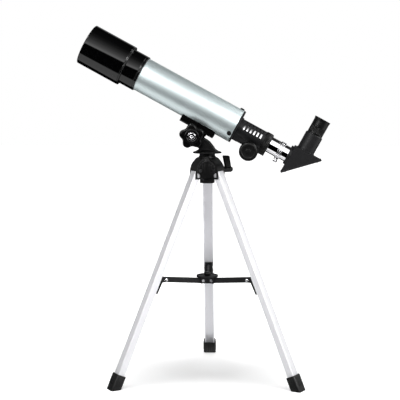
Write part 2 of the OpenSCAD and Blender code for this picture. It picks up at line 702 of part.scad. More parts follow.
module leg_bracket(i) {
    p = in_leg(out_r, out_z);
    back = leg_t / 2 - leg_wall;
    color(BLACK) leg_frame(i) {
        both_sides() {
            slab_y([
                [p[0], p[1] + 3.8], [back, p[1] - 2], [back, p[1] - bracket_l],
                [-leg_t / 2 - 3.4, p[1] - bracket_l], [-leg_t / 2 - 4.4, p[1] - 6], [p[0], p[1] - 3.8]
            ], bracket_y0, bracket_y1);
            translate([p[0], 0, p[1]]) rod_y(3.8, bracket_y0, bracket_y1);
        }
        block([back - 1, -bracket_y1, p[1] - bracket_l], [back, bracket_y1, p[1] - 2]);
    }
}

// ---- spreader ----
module spreader_plate() color(BLACK) {
    room() {
        translate([0, 0, plate_z]) {
            cylinder(r = 16.4, h = 1.8);
            ring_z(17.2, 15.8, 0, 2.8);
        }
        translate([0, 0, mid_z - 5]) cylinder(r = 4.6, h = plate_z - mid_z + 5);
    }
    for (i = [0 : 2]) spreader_frame(i) both_sides() difference() {
        block([3, arm_t / 2 + 0.3, -4.6], [13.2, arm_t / 2 + 1.9, plate_z - mid_z]);
        translate([mid_r, 0, 0]) rod_y(rivet_r, 0, 6);
    }
}

module spreader_knob() color(BLACK) room() translate([0, 0, plate_z + 1.8]) rotate_extrude() polygon([
    [0, 0], [4.2, 0], [4.2, 0.8], [5.7, 1.6], [5.7, 4.2], [4.4, 5.6], [2, 6.2], [0, 6.2]
]);

module spreader_pins() color(STEEL) for (i = [0 : 2]) spreader_frame(i) translate([mid_r, 0, 0]) {
    rod_y(rivet_r, -3.4, 3.4);
    both_sides() rod_y(2.4, 3.4, 4.2);
}

module spreader_arm(i) color(BLACK) spreader_frame(i) translate([mid_r, 0, 0])
    rotate([0, -arm_rise, 0]) {
        difference() {
            union() {
                block([0, -arm_t / 2, -arm_h / 2], [arm_l, arm_t / 2, arm_h / 2]);
                for (x = [0, arm_l]) translate([x, 0, 0]) rod_y(arm_h / 2, -arm_t / 2, arm_t / 2);
            }
            rod_y(rivet_r + fit, -4, 4);
        }
        translate([arm_l, 0, 0]) rod_y(2.4, -4, 4);
    }

dew_shield();
objective_cell();
crown_lens();
flint_lens();
lens_spacer();
lens_retaining_ring();
main_tube();
light_baffle();
focuser_body();
rear_screws();
pinion_cover();
pinion_cover_screws();
tube_saddle();
saddle_screws();
drawtube();
focus_rack();
drawtube_clamp_ring();
diagonal_thumbscrew();
pinion_shaft();
pinion_gear();
focus_knob(-1);  // focus_knob_near
focus_knob(1);  // focus_knob_far
diagonal_barrel();
diagonal_housing();
diagonal_cover();
diagonal_mirror();
eyepiece_body();
eyepiece_barrel();
field_lens();
eye_lens();
yoke();
tilt_nut();
tilt_washer();
tilt_bolt();
tilt_knob();
pan_spindle();
spindle_washer();
spindle_screw();
hub_body();
hub_cap();
leg_pins();
pan_lock_screw();
pan_lock_lever();
leg_channel(0);  // leg_back
leg_channel(1);  // leg_left
leg_channel(2);  // leg_right
foot_cap(0);  // foot_back
foot_cap(1);  // foot_left
foot_cap(2);  // foot_right
leg_bracket(0);  // leg_bracket_back
leg_bracket(1);  // leg_bracket_left
leg_bracket(2);  // leg_bracket_right
spreader_plate();
spreader_knob();
spreader_pins();
spreader_arm(0);  // spreader_arm_back
spreader_arm(1);  // spreader_arm_left
spreader_arm(2);  // spreader_arm_right
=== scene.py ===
"""The looks of a small refractor telescope on its folding tabletop tripod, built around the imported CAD.

Lengths are in millimetres until a mesh is placed, and everything is placed in metres in the CAD's frame.
"""

import json
import math

import bmesh
import bpy
from mathutils import Matrix, Vector


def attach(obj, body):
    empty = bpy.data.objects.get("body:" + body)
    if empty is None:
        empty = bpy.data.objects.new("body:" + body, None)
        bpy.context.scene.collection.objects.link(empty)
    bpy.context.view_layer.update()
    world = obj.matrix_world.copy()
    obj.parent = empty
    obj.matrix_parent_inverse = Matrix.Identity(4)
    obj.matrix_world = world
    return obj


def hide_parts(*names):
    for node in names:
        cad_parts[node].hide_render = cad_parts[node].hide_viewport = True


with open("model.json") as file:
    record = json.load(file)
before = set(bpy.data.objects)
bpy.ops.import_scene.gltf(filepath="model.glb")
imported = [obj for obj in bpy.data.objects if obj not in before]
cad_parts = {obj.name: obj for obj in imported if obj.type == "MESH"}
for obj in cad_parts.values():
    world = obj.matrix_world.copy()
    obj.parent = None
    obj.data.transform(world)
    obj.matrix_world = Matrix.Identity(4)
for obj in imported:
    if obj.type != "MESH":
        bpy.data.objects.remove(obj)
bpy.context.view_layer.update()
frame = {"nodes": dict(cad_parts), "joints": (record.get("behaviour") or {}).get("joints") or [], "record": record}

MM = 0.001
SIDES = (-1, 1)
LEGS = ("back", "left", "right")
JOINTS = {joint["name"]: joint for joint in frame["joints"]}
MOUNTS = {mount["name"]: mount for mount in frame["record"]["mounts"]}


# ---- places, from the frame ----

def placed(origin, x_axis, z_axis):
    """The matrix of a local frame in millimetres with these axes, in metres."""
    x_axis, z_axis = Vector(x_axis).normalized(), Vector(z_axis).normalized()
    y_axis = z_axis.cross(x_axis)
    turn = Matrix((x_axis, y_axis, z_axis)).transposed().to_4x4()
    return Matrix.Translation(origin) @ turn


UP = Vector((0, 0, 1))
TILT = Vector(JOINTS["tilt"]["pos_m"])
ALONG = Vector(JOINTS["focus_slide"]["axis"])
ACROSS = Vector((0, 1, 0))
NORMAL = ALONG.cross(ACROSS)
PIVOT_U, PIVOT_V = -55.4, -45.7      # the tilt axis in the tube's frame
TUBE = placed(TILT - MM * (PIVOT_U * ALONG + PIVOT_V * NORMAL), ALONG, NORMAL)
PAN = Vector(JOINTS["pan"]["pos_m"])
FLOOR_AXIS = Vector((PAN.x, PAN.y, 0))
HEAD = placed(FLOOR_AXIS, (1, 0, 0), UP)


def leg_radial(name):
    """The level direction from the pan axis towards a leg."""
    axis = Vector(JOINTS["leg_fold_" + name]["axis"])
    return axis.cross(UP)


def hip_point(name):
    return Vector(JOINTS["leg_fold_" + name]["pos_m"])


def foot_point(name):
    return Vector(MOUNTS["foot_" + name + "_floor"]["pos_m"])


def leg_place(name):
    """Local frame of a leg: z runs up the leg to its hip pin, x points outwards."""
    hip = hip_point(name)
    up_leg = (hip - foot_point(name)).normalized()
    tangent = Vector(JOINTS["leg_fold_" + name]["axis"])
    return placed(hip, tangent.cross(up_leg), up_leg)


LEG_LENGTH = (hip_point("back") - foot_point("back")).length / MM


# ---- mesh helpers ----

TINY = 1e-6
STRAIGHT = 0.12         # radians off a straight line that still count as no corner
LARGEST_CUT = 0.45      # the share of an edge that one rounded corner may take


def rounded(profile, radius, steps=3, closed=True):
    """The profile with every corner rounded as far as its neighbours allow."""
    points = [Vector(p) for p in profile]
    out = []
    for i, corner in enumerate(points):
        if not closed and i in (0, len(points) - 1):
            out.append(corner)
            continue
        before = points[i - 1] - corner
        after = points[(i + 1) % len(points)] - corner
        shortest = min(before.length, after.length)
        if shortest < TINY or abs(before.angle(after) - math.pi) < STRAIGHT:
            out.append(corner)
            continue
        cut = min(radius, shortest * LARGEST_CUT)
        start = corner + before.normalized() * cut
        end = corner + after.normalized() * cut
        for k in range(steps + 1):
            t = k / steps
            out.append(start * (1 - t) ** 2 + corner * 2 * t * (1 - t) + end * t ** 2)
    return [tuple(p) for p in out]


def lathe(bm, profile, segments=96, axis="x", wave=None, closed=True, shift=(0, 0, 0)):
    """Turns (radius, along) pairs about an axis. wave(along, angle) is added to the radius."""
    rings = []
    for radius, along in profile:
        if radius < TINY:
            rings.append([bm.verts.new(on_axis(along, 0, 0, axis, shift))])
            continue
        ring = []
        for k in range(segments):
            angle = 2 * math.pi * k / segments
            r = radius + (wave(radius, along, angle) if wave else 0)
            point = on_axis(along, r * math.cos(angle), r * math.sin(angle), axis, shift)
            ring.append(bm.verts.new(point))
        rings.append(ring)
    following = rings[1:] + rings[:1] if closed else rings[1:]
    for low, high in zip(rings, following):
        for k in range(segments):
            nxt = (k + 1) % segments
            corners = [
                low[k % len(low)], low[nxt % len(low)], high[nxt % len(high)], high[k % len(high)],
            ]
            unique = list(dict.fromkeys(corners))
            if len(unique) > 2:
                bm.faces.new(unique)


def on_axis(along, a, b, axis, shift):
    """The point that lies that far along an axis, and a and b off it, moved by shift."""
    turned = {"x": (along, a, b), "y": (a, along, b), "z": (a, b, along)}[axis]
    return Vector(turned) + Vector(shift)


def extrude(bm, outline, low, high):
    """A closed (x, y) outline drawn out from low to high along z."""
    bottom = [bm.verts.new((x, y, low)) for x, y in outline]
    top = [bm.verts.new((x, y, high)) for x, y in outline]
    bm.faces.new(bottom)
    bm.faces.new(top)
    for i in range(len(outline)):
        j = (i + 1) % len(outline)
        bm.faces.new((bottom[i], bottom[j], top[j], top[i]))


def box(bm, low, high, bevel):
    """A block between two corners, with softened edges."""
    low, high = Vector(low), Vector(high)
    made = bmesh.ops.create_cube(bm, size=1)["verts"]
    for v in made:
        v.co = Vector(tuple((low[i] + high[i]) / 2 + v.co[i] * (high[i] - low[i]) for i in range(3)))
    edges = list({e for v in made for e in v.link_edges})
    bmesh.ops.bevel(
        bm, geom=edges, offset=bevel, segments=2, profile=0.5, affect="EDGES", clamp_overlap=True
    )


SHARP = math.radians(40)


def piece(name, build, place, body, slot, material, replaces=()):
    bm = bmesh.new()
    build(bm)
    bmesh.ops.remove_doubles(bm, verts=bm.verts, dist=1e-4)
    bmesh.ops.recalc_face_normals(bm, faces=bm.faces)
    for f in bm.faces:
        f.smooth = True
    for e in bm.edges:
        if len(e.link_faces) == 2 and e.calc_face_angle(0) > SHARP:
            e.smooth = False
    bmesh.ops.scale(bm, vec=(MM, MM, MM), verts=bm.verts)
    mesh = bpy.data.meshes.new(name)
    bm.to_mesh(mesh)
    bm.free()
    obj = bpy.data.objects.new(name, mesh)
    bpy.context.scene.collection.objects.link(obj)
    obj.matrix_world = place
    mesh.materials.append(material)
    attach(obj, body)
    if replaces:
        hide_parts(*replaces)
    return obj


def soften(node, width):
    """Rounds the edges of a CAD node, without touching its mesh."""
    obj = frame["nodes"][node]
    weld = obj.modifiers.new("weld", "WELD")
    weld.merge_threshold = 1e-6
    flat = obj.modifiers.new("flat", "DECIMATE")
    flat.decimate_type = "DISSOLVE"
    flat.angle_limit = math.radians(1)
    bevel = obj.modifiers.new("bevel", "BEVEL")
    bevel.width = width * MM
    bevel.segments = 2
    bevel.limit_method = "ANGLE"
    bevel.angle_limit = math.radians(35)
    normals = obj.modifiers.new("normals", "WEIGHTED_NORMAL")
    normals.keep_sharp = True
    for polygon in obj.data.polygons:
        polygon.use_smooth = True


# ---- materials ----

def linked(tree, kind, **values):
    """A new node, with the given values set on its inputs or, failing that, on itself."""
    node = tree.nodes.new(kind)
    for key, value in values.items():
        if key in node.inputs:
            node.inputs[key].default_value = value
        else:
            setattr(node, key, value)
    return node


def surface(name, color, roughness, metallic=0.0, grain=900.0, bump=0.05, depth=0.1, mottle=0.12,
            stretch=(1, 1, 1), spread=0.06, shine=0.5):
    """A surface with mottled colour, uneven gloss and a fine grain in its relief, all from noise."""
    material = bpy.data.materials.new(name)
    material.use_nodes = True
    tree = material.node_tree
    shader = tree.nodes["Principled BSDF"]
    shader.inputs["Metallic"].default_value = metallic
    shader.inputs["Specular IOR Level"].default_value = shine
    place = tree.nodes.new("ShaderNodeTexCoord")
    mapping = tree.nodes.new("ShaderNodeMapping")
    mapping.inputs["Scale"].default_value = stretch
    tree.links.new(place.outputs["Object"], mapping.inputs["Vector"])
    broad = linked(tree, "ShaderNodeTexNoise", Scale=60.0, Detail=3.0)
    fine = linked(tree, "ShaderNodeTexNoise", Scale=grain, Detail=4.0, Roughness=0.6)
    tree.links.new(mapping.outputs["Vector"], broad.inputs["Vector"])
    tree.links.new(mapping.outputs["Vector"], fine.inputs["Vector"])
    tint = tree.nodes.new("ShaderNodeValToRGB")
    dark = tuple(c * (1 - mottle) for c in color) + (1,)
    light = tuple(min(1.0, c * (1 + mottle)) for c in color) + (1,)
    tint.color_ramp.elements[0].color, tint.color_ramp.elements[1].color = dark, light
    tint.color_ramp.elements[0].position, tint.color_ramp.elements[1].position = 0.3, 0.7
    tree.links.new(broad.outputs["Fac"], tint.inputs["Fac"])
    tree.links.new(tint.outputs["Color"], shader.inputs["Base Color"])
    gloss = linked(tree, "ShaderNodeMapRange")
    gloss.inputs["To Min"].default_value = max(0.02, roughness - spread)
    gloss.inputs["To Max"].default_value = roughness + spread
    tree.links.new(fine.outputs["Fac"], gloss.inputs["Value"])
    tree.links.new(gloss.outputs["Result"], shader.inputs["Roughness"])
    relief = linked(tree, "ShaderNodeBump", Strength=bump, Distance=depth * MM)
    tree.links.new(fine.outputs["Fac"], relief.inputs["Height"])
    tree.links.new(relief.outputs["Normal"], shader.inputs["Normal"])
    return material


def glass(name, tint):
    """Coated lens glass, with a faint uneven gloss."""
    material = surface(name, tint, 0.03, grain=300, bump=0.01, mottle=0.05, spread=0.01)
    shader = material.node_tree.nodes["Principled BSDF"]
    shader.inputs["Transmission Weight"].default_value = 1.0
    shader.inputs["IOR"].default_value = 1.52
    return material


GLOSS = surface("gloss_black_plastic", (0.0008, 0.0008, 0.0009), 0.06, grain=260, bump=0.02, spread=0.03)
SATIN = surface("satin_black_plastic", (0.0015, 0.0015, 0.0016), 0.36, grain=2200, bump=0.25,
                spread=0.08, shine=0.25)
POLISHED = surface("polished_black_plastic", (0.0012, 0.0012, 0.0013), 0.2, grain=1800, bump=0.15,
                   shine=0.22)
MATTE = surface("matte_black_casting", (0.0065, 0.0065, 0.0075), 0.45, grain=2200, bump=0.25,
                spread=0.08, shine=0.25)
RUBBER = surface("foot_rubber", (0.003, 0.003, 0.003), 0.42, grain=1300, bump=0.2,
                 spread=0.1, shine=0.35)
LACQUER = surface("silver_lacquer", (0.7, 0.79, 0.8), 0.42, metallic=0.85, grain=2600, bump=0.04,
                  mottle=0.02, spread=0.05)
CHROME = surface("chrome_plating", (0.88, 0.88, 0.9), 0.06, metallic=1.0, grain=200, bump=0.01,
                 mottle=0.02, spread=0.03)
SATIN_CHROME = surface("satin_chrome", (0.86, 0.86, 0.88), 0.24, metallic=1.0, grain=900, bump=0.04,
                       mottle=0.04)
STEEL = surface("zinc_steel", (0.72, 0.72, 0.74), 0.26, metallic=1.0, grain=1500, bump=0.1, spread=0.08)
BLACKENED = surface("blackened_steel", (0.02, 0.02, 0.021), 0.3, metallic=0.6, grain=1500, bump=0.1,
                    spread=0.08)
BRASS = surface("machined_brass", (0.75, 0.53, 0.24), 0.25, metallic=1.0, grain=1500, bump=0.1,
                spread=0.08)
ANODISED = surface("anodised_aluminium", (0.84, 0.84, 0.865), 0.38, metallic=0.4, grain=900, bump=0.05,
                   mottle=0.03, stretch=(1, 1, 0.02), spread=0.08)
MIRROR = surface("mirror_coating", (0.92, 0.93, 0.94), 0.03, metallic=1.0, grain=100, bump=0.0,
                 spread=0.01)
LENS = glass("coated_glass", (0.93, 0.99, 0.97))


# ---- optical tube ----

TUBE_R, TUBE_LENGTH, TUBE_WALL, RIM = 27, 168.5, 0.8, 3
CELL_SHOWN, HOOD_LENGTH = 25.8, 72
CELL_R, HOOD_R, HOOD_WALL, LENS_R = 28.8, 32.65, 2.1, 25.2
HOOD_OVERLAP, LENS_SEAT = 10, 5.3      # how far the hood and the lens seat reach past the cell's front
TUBE_FRONT = -RIM - TUBE_LENGTH
CELL_FRONT = TUBE_FRONT - CELL_SHOWN
HOOD_FRONT = CELL_FRONT - HOOD_LENGTH


def dew_shield(bm):
    """A hood with a groove before its rear bead, and glare ridges inside."""
    bead = CELL_FRONT - 1.5
    groove = HOOD_R - 0.45
    outer = [
        (HOOD_R - 2.6, HOOD_FRONT), (HOOD_R - 0.7, HOOD_FRONT), (HOOD_R, HOOD_FRONT + 0.8),
        (HOOD_R, bead - 1.3), (groove, bead - 1), (groove, bead - 0.6), (HOOD_R, bead - 0.2),
        (HOOD_R, bead + 0.7), (HOOD_R - 0.9, CELL_FRONT), (CELL_R, CELL_FRONT),
        (CELL_R, CELL_FRONT - HOOD_OVERLAP), (HOOD_R - 2.2, CELL_FRONT - 12),
    ]
    ridges = []
    pitch, depth, ends = 2.0, 0.5, 18
    for k in range(int((HOOD_LENGTH - ends) / pitch)):
        along = CELL_FRONT - 13 - k * pitch
        ridges += [(HOOD_R - 2.2 - depth, along), (HOOD_R - HOOD_WALL, along - pitch * 0.6)]
    lathe(bm, rounded(outer, 0.35) + ridges + [(HOOD_R - HOOD_WALL, HOOD_FRONT + 2)], 128)


def objective_cell(bm):
    """A cell with a groove near its rear edge, and a spigot that fits into the tube."""
    spigot, spigot_end = TUBE_R - TUBE_WALL, TUBE_FRONT + 10
    groove, middle = CELL_R - 0.3, TUBE_FRONT - 3.9
    profile = [
        (LENS_R, CELL_FRONT - HOOD_OVERLAP), (CELL_R, CELL_FRONT - HOOD_OVERLAP),
        (CELL_R, middle - 0.5), (groove, middle - 0.2), (groove, middle + 0.2), (CELL_R, middle + 0.5),
        (CELL_R, TUBE_FRONT - 0.9), (CELL_R - 0.9, TUBE_FRONT), (spigot, TUBE_FRONT),
        (spigot, spigot_end), (spigot - 1.8, spigot_end), (LENS_R - 1.4, CELL_FRONT + LENS_SEAT),
        (LENS_R, CELL_FRONT + LENS_SEAT),
    ]
    lathe(bm, rounded(profile, 0.3), 128)


def main_tube(bm):
    inside = TUBE_R - TUBE_WALL
    profile = [(inside, TUBE_FRONT), (TUBE_R, TUBE_FRONT), (TUBE_R, -RIM), (inside, -RIM)]
    lathe(bm, rounded(profile, 0.2), 160)


def crown_lens(bm):
    curve, steps = 150, 14
    rim_to_crown = curve - math.sqrt(curve ** 2 - LENS_R ** 2)
    rear = CELL_FRONT + LENS_SEAT - 4.6
    front = rear - 2.4

    def face(at, out):
        """One curved face from its middle to its rim, bulging along out from the rim's place."""
        radii = [LENS_R * k / steps for k in range(steps + 1)]
        return [(r, at + out * (rim_to_crown - curve + math.sqrt(curve ** 2 - r ** 2))) for r in radii]
    lathe(bm, face(front, -1) + face(rear, 1)[::-1], 96)


def tube_pieces():
    tube = {"place": TUBE, "body": "optical_tube"}
    piece("dew_shield_moulding", dew_shield, slot="black_gloss", material=GLOSS,
          replaces=["dew_shield"], **tube)
    piece("objective_cell_moulding", objective_cell, slot="black_gloss", material=GLOSS,
          replaces=["objective_cell"], **tube)
    piece("lacquered_tube", main_tube, slot="tube_silver", material=LACQUER,
          replaces=["main_tube"], **tube)
    piece("coated_crown_lens", crown_lens, slot="lens_glass", material=LENS,
          replaces=["crown_lens"], **tube)


# ---- focuser ----

DRAW_R, DRAW_IN, DRAW_BACK, BARREL_R = 12.8, 12.3, -60, 15.25
COLLAR, FOCUSER_END = 44, 56
SHAFT_U, SHAFT_V = 32.5, -23.9
KNOB_R, KNOB_IN, KNOB_T = 14.7, 17, 12
RING_0, RING_1 = 71.7, 79.3
RING_MIDDLE = (RING_0 + RING_1) / 2


def collar_grip(bm):
    """A knurled sleeve round the rear end of the focuser."""
    ribs, height = 54, 0.42
    top = BARREL_R + 0.6

    def knurl(radius, along, angle):
        ribbed = COLLAR + 1.2 < along < FOCUSER_END - 2 and radius > BARREL_R + 0.4
        return height * abs(math.sin(angle * ribs / 2)) if ribbed else 0
    profile = [
        (BARREL_R, COLLAR + 0.2), (top, COLLAR + 0.4), (top, COLLAR + 1.6), (top, COLLAR + 5),
        (top, FOCUSER_END - 2.4), (top - 0.1, FOCUSER_END - 1.4), (top - 0.8, FOCUSER_END - 0.6),
    ]
    lathe(bm, profile, ribs * 6, wave=knurl)


def focus_knob(side):
    """A wheel with a knurled rim, a hub behind it and a shallow dished face."""
    def build(bm):
        ribs, depth = 60, 0.28
        back, front = KNOB_IN, KNOB_IN + KNOB_T
        hub = back - 7.1

        def knurl(radius, along, angle):
            rim = radius > KNOB_R - 0.1 and back + 1.4 < abs(along) < front - 2.4
            return -depth * (0.5 + 0.5 * math.cos(ribs * angle)) if rim else 0
        half = [
            (2, hub), (5, hub), (5, back), (KNOB_R - 1.4, back), (KNOB_R, back + 1.2),
            (KNOB_R, back + 1.6), (KNOB_R, front - 2.8), (KNOB_R, front - 2.2),
            (KNOB_R - 1.6, front - 0.4), (KNOB_R - 3.2, front), (10.2, front), (9.8, front - 0.35),
            (4, front - 0.5), (3.6, front - 0.3), (0, front - 0.3),
        ]
        smooth = rounded(half, 0.4, closed=False) + [(0, hub)]
        lathe(bm, [(r, side * along) for r, along in smooth], ribs * 5, axis="y", wave=knurl,
              shift=(SHAFT_U, 0, SHAFT_V), closed=False)
    return build


def drawtube(bm):
    profile = [(DRAW_IN, DRAW_BACK), (DRAW_R, DRAW_BACK), (DRAW_R, RING_1), (DRAW_IN, RING_1)]
    lathe(bm, rounded(profile, 0.2), 96)


def clamp_ring(bm):
    """A ring with two turned grooves, and a boss below it for the thumbscrew."""
    out = DRAW_R + 1.3
    groove = out - 0.5
    profile = [
        (DRAW_R, RING_0), (out, RING_0), (out, RING_0 + 2), (groove, RING_0 + 2.3),
        (groove, RING_0 + 2.7), (out, RING_0 + 3), (out, RING_1 - 3), (groove, RING_1 - 2.7),
        (groove, RING_1 - 2.3), (out, RING_1 - 2), (out, RING_1), (DRAW_R, RING_1),
    ]
    lathe(bm, rounded(profile, 0.25), 96)
    hole, boss_r, top, bottom = 1.6, 3, -DRAW_R - 0.4, -DRAW_R - 2.2
    boss = [(hole, top), (boss_r, top), (boss_r, bottom), (hole, bottom)]
    lathe(bm, rounded(boss, 0.2), 32, axis="z", shift=(RING_MIDDLE, 0, 0))


def thumbscrew(bm):
    """A small screw with a knurled head, pointing up into the clamp ring."""
    ribs, height = 22, 0.22
    shank_r, head_r = 1.5, 3.3
    top = -DRAW_R - 3.2

    def knurl(radius, along, angle):
        return height * abs(math.sin(angle * ribs / 2)) if radius > head_r - 0.2 else 0
    profile = [
        (0, top + 3.8), (shank_r, top + 3.8), (shank_r, top), (head_r - 0.5, top), (head_r, top - 0.5),
        (head_r, top - 3.2), (head_r - 0.5, top - 3.8), (head_r - 0.9, top - 4.5), (0, top - 4.6),
    ]
    lathe(bm, profile, ribs * 6, axis="z", wave=knurl, closed=False, shift=(RING_MIDDLE, 0, 0))


def focuser_pieces():
    piece("focuser_collar_grip", collar_grip, TUBE, "optical_tube", "black_satin", SATIN)
    for side, name in ((-1, "near"), (1, "far")):
        piece("focus_wheel_" + name, focus_knob(side), TUBE, "focus_shaft", "black_gloss", SATIN,
              replaces=["focus_knob_" + name])
    piece("plated_drawtube", drawtube, TUBE, "drawtube", "chrome", CHROME, replaces=["drawtube"])
    piece("plated_clamp_ring", clamp_ring, TUBE, "drawtube", "chrome", SATIN_CHROME,
          replaces=["drawtube_clamp_ring"])
    piece("knurled_thumbscrew", thumbscrew, TUBE, "thumbscrew", "chrome", CHROME,
          replaces=["diagonal_thumbscrew"])


# ---- diagonal and eyepiece ----

DIAG_U, DIAG_V, DIAG_LEG = 91.8, 17.9, 44.6
VIEW_U, EYE_R, FLARE, EYE_LENS_R = 110, 12.5, 0.7, 6.1
SOCKET_TOP = DIAG_V + 29.6
EYE_TOP = SOCKET_TOP + 26.5
EYE_LENS_SEAT = EYE_TOP - 8


def quarter_dome(radius, height, steps=6):
    """Points (r, along) up the side of a dome, short of its middle."""
    angles = [math.pi / 2 * k / steps for k in range(steps)]
    return [(radius * math.cos(t), height * math.sin(t)) for t in angles]


def screw_head(bm, radius, height, matrix):
    """A domed screw head with a cross recess, above z = 0 of the given matrix."""
    made = bmesh.new()
    lathe(made, [(0, 0)] + quarter_dome(radius, height) + [(0, height)], 32, axis="z", closed=False)
    slot_half, slot_reach, slot_depth = radius * 0.13, radius * 0.75, height * 0.45
    recessed = [
        v for v in made.verts
        if min(abs(v.co.x), abs(v.co.y)) < slot_half and v.co.length < slot_reach and v.co.z > height / 2
    ]
    for v in recessed:
        v.co.z -= slot_depth
    bmesh.ops.transform(made, matrix=matrix, verts=made.verts)
    copy = bpy.data.meshes.new("screw")
    made.to_mesh(copy)
    made.free()
    bm.from_mesh(copy)
    bpy.data.meshes.remove(copy)


def cover_screws(bm):
    """Four screws in the sloping cover of the diagonal."""
    along_cover, across_cover, below = 26, 11, 2.6
    centre = Vector((DIAG_U + DIAG_LEG / 2, 0, DIAG_V - DIAG_LEG / 2))
    turn = Matrix.Translation(centre) @ Matrix.Rotation(math.radians(-45), 4, "Y")
    facing_out = Matrix.Rotation(math.pi, 4, "X")
    for end in SIDES:
        for side in SIDES:
            spot = Matrix.Translation((end * along_cover, side * across_cover, -below)) @ facing_out
            screw_head(bm, 1.9, 0.9, turn @ spot)


def eyepiece(bm):
    """A tapered shell with a knurled grip, a flared rim and a dished eye end."""
    bore, ribs, height = 10.6, 48, 0.3
    rim, waist = EYE_R + FLARE, EYE_R - 0.35
    grip_low, grip_high = SOCKET_TOP + 3.5, SOCKET_TOP + 12.5
    bottom = SOCKET_TOP + 0.02

    def knurl(radius, along, angle):
        band = grip_low + 0.3 < along < grip_high - 0.3 and radius > EYE_R - 0.5
        return height * abs(math.sin(angle * ribs / 2)) if band else 0
    profile = [
        (bore, bottom), (EYE_R, bottom), (EYE_R, grip_low), (waist, grip_low + 0.4),
        (waist, grip_high - 0.4), (EYE_R, grip_high), (EYE_R, EYE_TOP - 4.5), (EYE_R + 0.3, EYE_TOP - 2.4),
        (rim, EYE_TOP - 1.2), (rim, EYE_TOP - 0.2), (rim - 1.6, EYE_TOP), (9, EYE_TOP - 4.2),
        (EYE_LENS_R, EYE_TOP - 5), (EYE_LENS_R, EYE_LENS_SEAT), (5, EYE_TOP - 8.6), (bore, EYE_TOP - 14),
    ]
    lathe(bm, rounded(profile, 0.3), ribs * 6, axis="z", wave=knurl, shift=(VIEW_U, 0, 0))


def eye_lens(bm):
    """A flat lens with a domed top."""
    curve, steps, crown = 14, 10, EYE_LENS_SEAT + 2.8
    radii = [EYE_LENS_R * k / steps for k in range(steps + 1)]
    cap = [(r, crown - curve + math.sqrt(curve ** 2 - r ** 2)) for r in radii]
    base = [(EYE_LENS_R, EYE_LENS_SEAT), (0, EYE_LENS_SEAT)]
    lathe(bm, cap + base, 48, axis="z", shift=(VIEW_U, 0, 0), closed=False)


def diagonal_pieces():
    piece("diagonal_cover_screws", cover_screws, TUBE, "diagonal", "steel", STEEL)
    piece("eyepiece_shell", eyepiece, TUBE, "eyepiece", "black_gloss", SATIN,
          replaces=["eyepiece_body"])
    piece("polished_eye_lens", eye_lens, TUBE, "eyepiece", "lens_glass", LENS,
          replaces=["eye_lens"])


# ---- head ----

CHEEK_OUT = 13.4
KNOB_FACE_IN, KNOB_FACE_OUT = 15.4, 27
KNOB_DEPTH = KNOB_FACE_OUT - KNOB_FACE_IN
LOBES, LOBE_AT, LOBE_R, LOBE_PHASE, LOBE_WAIST = 5, 12.8, 7.2, 21, 15.4
LOBE_FACE, ARCH_R, ARCH_Z = 19, 13.5, 333       # a lobe of the hub: its face, and the arch on it


def lobed_radius(angle):
    """Distance from the knob's axis to its outline, in the direction of angle."""
    pitch = 2 * math.pi / LOBES
    off = (angle - math.radians(LOBE_PHASE) + pitch / 2) % pitch - pitch / 2
    inside = LOBE_R ** 2 - (LOBE_AT * math.sin(off)) ** 2
    lobe = LOBE_AT * math.cos(off) + math.sqrt(inside) if inside > 0 else 0
    return max(LOBE_WAIST, lobe)


def tilt_knob(bm):
    """A five-lobed knob with soft edges and a recessed face, bored for the bolt."""
    segments, smoothings, bore = 180, 12, 3.05
    angles = [2 * math.pi * k / segments for k in range(segments)]
    outline = [lobed_radius(angle) for angle in angles]
    for _ in range(smoothings):
        following = outline[1:] + outline[:1]
        outline = [(outline[k - 1] + 2 * outline[k] + following[k]) / 4 for k in range(segments)]
    # (distance from the bearing face, how much the outline shrinks)
    layers = [
        (0, 1.4), (0.5, 0.4), (1.5, 0), (KNOB_DEPTH - 4, 0), (KNOB_DEPTH - 2.6, 0.5),
        (KNOB_DEPTH - 1.8, 1.5), (KNOB_DEPTH - 1.5, 3),
    ]
    # (radius, distance from the bearing face)
    circles = [
        (12.6, KNOB_DEPTH - 1.7), (11.6, KNOB_DEPTH - 1.6), (11.1, KNOB_DEPTH - 0.3),
        (10.7, KNOB_DEPTH), (7.6, KNOB_DEPTH), (7.1, KNOB_DEPTH - 0.4), (6.9, KNOB_DEPTH - 2.2),
        (bore, KNOB_DEPTH - 2.2), (bore, 0),
    ]
    rings = [[(radius - shrink, level) for radius in outline] for level, shrink in layers]
    rings += [[circle] * segments for circle in circles]
    verts = [
        [bm.verts.new((r * math.cos(t), r * math.sin(t), z)) for t, (r, z) in zip(angles, ring)]
        for ring in rings
    ]
    for low, high in zip(verts, verts[1:] + verts[:1]):
        for k in range(segments):
            nxt = (k + 1) % segments
            bm.faces.new((low[k], low[nxt], high[nxt], high[k]))


def bolt_star(bm):
    """A pressed star with a domed middle, on the head of the tilt bolt."""
    points, tip, root, dome_r, dome_h = 5, 6.3, 3.9, 2.9, 1.1
    bottom = KNOB_DEPTH - 1.9
    top = bottom + 0.9
    outline = []
    for k in range(2 * points):
        reach = root if k % 2 else tip
        angle = math.radians(LOBE_PHASE) + math.pi * k / points
        outline.append((reach * math.cos(angle), reach * math.sin(angle)))
    extrude(bm, rounded(outline, 1.2), bottom, top)
    dome = [(r, top + along) for r, along in quarter_dome(dome_r, dome_h, steps=8)]
    profile = [(0, bottom + 0.5), (dome_r, bottom + 0.5)] + dome + [(0, top + dome_h)]
    lathe(bm, profile, 40, axis="z", closed=False)


def yoke_ridges(bm):
    """Six short grip ridges on each cheek of the yoke, one above the other."""
    lowest, pitch, thick = 363.2, 2.1, 0.9
    for side in SIDES:
        for k in range(6):
            z = lowest + pitch * k
            low, high = sorted((side * (CHEEK_OUT - 0.2), side * (CHEEK_OUT + 0.55)))
            box(bm, (-9.6 - 0.2 * k, low, z), (3.6 - 1.2 * k, high, z + thick), 0.25)


